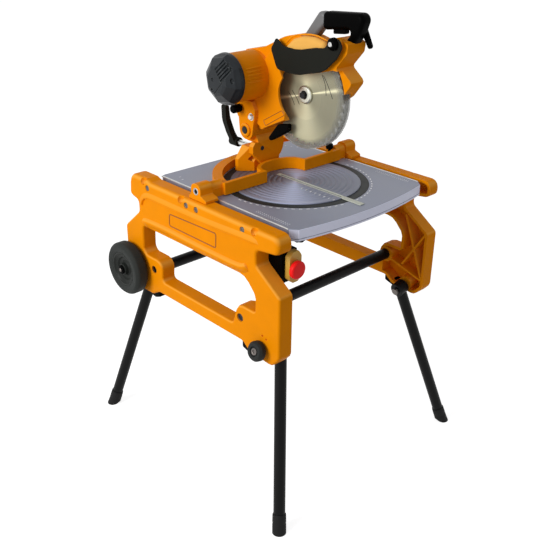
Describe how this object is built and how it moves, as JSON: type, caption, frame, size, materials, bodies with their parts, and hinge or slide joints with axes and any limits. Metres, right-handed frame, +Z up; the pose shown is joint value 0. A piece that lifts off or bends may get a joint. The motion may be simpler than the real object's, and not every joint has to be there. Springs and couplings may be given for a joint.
{
  "type": "flip-over mitre and bench saw",
  "caption": "Flip-over saw with a chopping head on a round mitre table, set between two cast side frames on folding legs, with transport wheels.",
  "frame": {"origin": "on the floor, midway between the four feet", "axes": "+Z up, -Y towards the operator, +X to the operator's right"},
  "size_m": [0.717, 0.779, 1.1947],
  "materials": {
    "cast_yellow": "orange-yellow paint on a light alloy casting",
    "table_grey": "machined blue-grey casting",
    "black_plastic": "fine matt texture",
    "black_paint": "black paint on tube",
    "foot_rubber": "matt",
    "wheel_rubber": "matt",
    "motor_grey": "dark blue-grey moulded plastic",
    "steel": "turned and ground",
    "kerf_cream": "cream plastic",
    "button_red": "moulded",
    "switch_pale": "pale yellow plastic",
    "clear_guard": "clear polycarbonate",
    "handle_grey": "grey plastic",
    "motor_core": "varnished laminations",
    "belt_rubber": "ribbed belt"
  },
  "bodies": {
    "stand": {"left_side_frame": "cast_yellow", "right_side_frame": "cast_yellow", "front_cross_tube": "black_paint", "rear_cross_tube": "black_paint", "pivot_lug_left": "cast_yellow", "pivot_lug_right": "cast_yellow", "leg_bolt_left": "steel", "leg_bolt_right": "steel", "wheel_axle_left": "steel", "wheel_axle_right": "steel", "switch_housing": "black_plastic", "switch_faceplate": "switch_pale"},
    "stop_button_body": {"stop_button": "button_red"},
    "table": {"table_top": "table_grey", "bench_plate": "table_grey", "turntable_ring": "black_plastic", "fence": "cast_yellow", "flip_shaft_left": "steel", "flip_shaft_right": "steel"},
    "table_latch_body": {"table_latch": "black_plastic"},
    "fence_knob_body": {"fence_knob": "black_plastic"},
    "mitre_deck": {"turntable": "table_grey", "kerf_insert": "kerf_cream", "bevel_trunnion": "cast_yellow"},
    "tilt": {"tilt_bracket": "cast_yellow", "hinge_pin": "steel"},
    "bevel_lever_body": {"bevel_lever": "black_plastic"},
    "head": {"saw_arm": "cast_yellow", "motor_housing": "cast_yellow", "motor_end_cap": "motor_grey", "motor_stator": "motor_core", "belt_cover": "cast_yellow", "drive_belt": "belt_rubber", "guard_shield": "black_plastic", "handle_bracket": "handle_grey", "handle_grip": "black_plastic", "dust_chute": "black_plastic", "return_spring": "steel"},
    "trigger_body": {"trigger": "black_plastic"},
    "guard_lever_body": {"guard_lever": "black_plastic"},
    "head_lock_body": {"head_lock_pin": "black_plastic"},
    "rotor": {"motor_armature": "steel"},
    "blade": {"saw_blade": "steel", "arbor_spindle": "steel", "blade_flange": "steel"},
    "guard": {"lower_guard": "clear_guard"},
    "leg_front_left": {"leg_tube_front_left": "black_paint", "leg_foot_front_left": "foot_rubber"},
    "leg_rear_left": {"leg_tube_rear_left": "black_paint", "leg_foot_rear_left": "foot_rubber"},
    "leg_knob_left_body": {"leg_knob_left": "black_plastic"},
    "wheel_left": {"tyre_left": "wheel_rubber", "wheel_hub_left": "motor_grey"},
    "leg_front_right": {"leg_tube_front_right": "black_paint", "leg_foot_front_right": "foot_rubber"},
    "leg_rear_right": {"leg_tube_rear_right": "black_paint", "leg_foot_rear_right": "foot_rubber"},
    "leg_knob_right_body": {"leg_knob_right": "black_plastic"},
    "wheel_right": {"tyre_right": "wheel_rubber", "wheel_hub_right": "motor_grey"}
  },
  "joints": [
    {"name": "leg_fold_front_left", "type": "hinge", "parent": "stand", "child": "leg_front_left", "pos_m": [-0.2295, -0.252, 0.44], "axis": [0.9704, 0, -0.2415], "range_deg": [0, 104.5]},
    {"name": "leg_fold_rear_left", "type": "hinge", "parent": "stand", "child": "leg_rear_left", "pos_m": [-0.2245, 0.2595, 0.481], "axis": [-0.9728, 0, 0.2316], "range_deg": [0, 102.5]},
    {"name": "leg_knob_turn_left", "type": "hinge", "parent": "stand", "child": "leg_knob_left_body", "pos_m": [-0.2295, -0.252, 0.44], "axis": [-0.9704, 0, 0.2415], "range_deg": [0, 180]},
    {"name": "wheel_spin_left", "type": "hinge", "parent": "stand", "child": "wheel_left", "pos_m": [-0.318, 0.264, 0.495], "axis": [1, 0, 0], "continuous": true},
    {"name": "leg_fold_front_right", "type": "hinge", "parent": "stand", "child": "leg_front_right", "pos_m": [0.2295, -0.252, 0.44], "axis": [0.9704, 0, 0.2415], "range_deg": [0, 104.5]},
    {"name": "leg_fold_rear_right", "type": "hinge", "parent": "stand", "child": "leg_rear_right", "pos_m": [0.2245, 0.2595, 0.481], "axis": [-0.9728, 0, -0.2316], "range_deg": [0, 102.5]},
    {"name": "leg_knob_turn_right", "type": "hinge", "parent": "stand", "child": "leg_knob_right_body", "pos_m": [0.2295, -0.252, 0.44], "axis": [0.9704, 0, 0.2415], "range_deg": [0, 180]},
    {"name": "wheel_spin_right", "type": "hinge", "parent": "stand", "child": "wheel_right", "pos_m": [0.318, 0.264, 0.495], "axis": [1, 0, 0], "continuous": true},
    {"name": "stop_button_press", "type": "slide", "parent": "stand", "child": "stop_button_body", "axis": [0, 1, 0], "range_m": [0, 0.003], "stiffness_N_per_m": 2500},
    {"name": "table_flip", "type": "hinge", "parent": "stand", "child": "table", "pos_m": [0, 0, 0.78], "axis": [-1, 0, 0], "range_deg": [0, 100]},
    {"name": "table_latch_pull", "type": "slide", "parent": "table", "child": "table_latch_body", "axis": [0, 0, -1], "range_m": [0, 0.008], "stiffness_N_per_m": 900, "springref_m": -0.004},
    {"name": "fence_knob_turn", "type": "hinge", "parent": "table", "child": "fence_knob_body", "pos_m": [0.186, -0.004, 0.798], "axis": [0, 0, 1], "range_deg": [0, 180]},
    {"name": "mitre_turn", "type": "hinge", "parent": "table", "child": "mitre_deck", "pos_m": [0, -0.06, 0.76], "axis": [0, 0, 1], "range_deg": [-45, 45]},
    {"name": "bevel_tilt", "type": "hinge", "parent": "mitre_deck", "child": "tilt", "pos_m": [0, 0.062, 0.76], "axis": [0, 1, 0], "range_deg": [-45, 0]},
    {"name": "bevel_lever_turn", "type": "hinge", "parent": "tilt", "child": "bevel_lever_body", "pos_m": [0, 0.101, 0.81], "axis": [0, 1, 0], "range_deg": [0, 60]},
    {"name": "head_chop", "type": "hinge", "parent": "tilt", "child": "head", "pos_m": [0, 0.074, 0.873], "axis": [1, 0, 0], "range_deg": [0, 38], "stiffness_Nm_per_rad": 8, "springref_deg": -148.97},
    {"name": "trigger_press", "type": "slide", "parent": "head", "child": "trigger_body", "axis": [0, 0, 1], "range_m": [0, 0.005], "stiffness_N_per_m": 800},
    {"name": "guard_lever_press", "type": "hinge", "parent": "head", "child": "guard_lever_body", "pos_m": [0.026, -0.24, 1.152], "axis": [1, 0, 0], "range_deg": [0, 10], "stiffness_Nm_per_rad": 0.4},
    {"name": "head_lock_pull", "type": "slide", "parent": "head", "child": "head_lock_body", "axis": [-1, 0, 0], "range_m": [0, 0.01]},
    {"name": "blade_spin", "type": "hinge", "parent": "head", "child": "blade", "pos_m": [0, -0.09, 0.987], "axis": [1, 0, 0], "continuous": true},
    {"name": "motor_spin", "type": "hinge", "parent": "head", "child": "rotor", "pos_m": [0, 0.061, 1.016], "axis": [1, 0, 0], "continuous": true},
    {"name": "lower_guard_swing", "type": "hinge", "parent": "head", "child": "guard", "pos_m": [0, -0.09, 0.987], "axis": [-1, 0, 0], "range_deg": [0, 122]}
  ],
  "couplings": [
    {"joint": "motor_spin", "follows": "blade_spin", "ratio": 1.6667},
    {"joint": "lower_guard_swing", "follows": "head_chop", "ratio": 3.2}
  ]
}
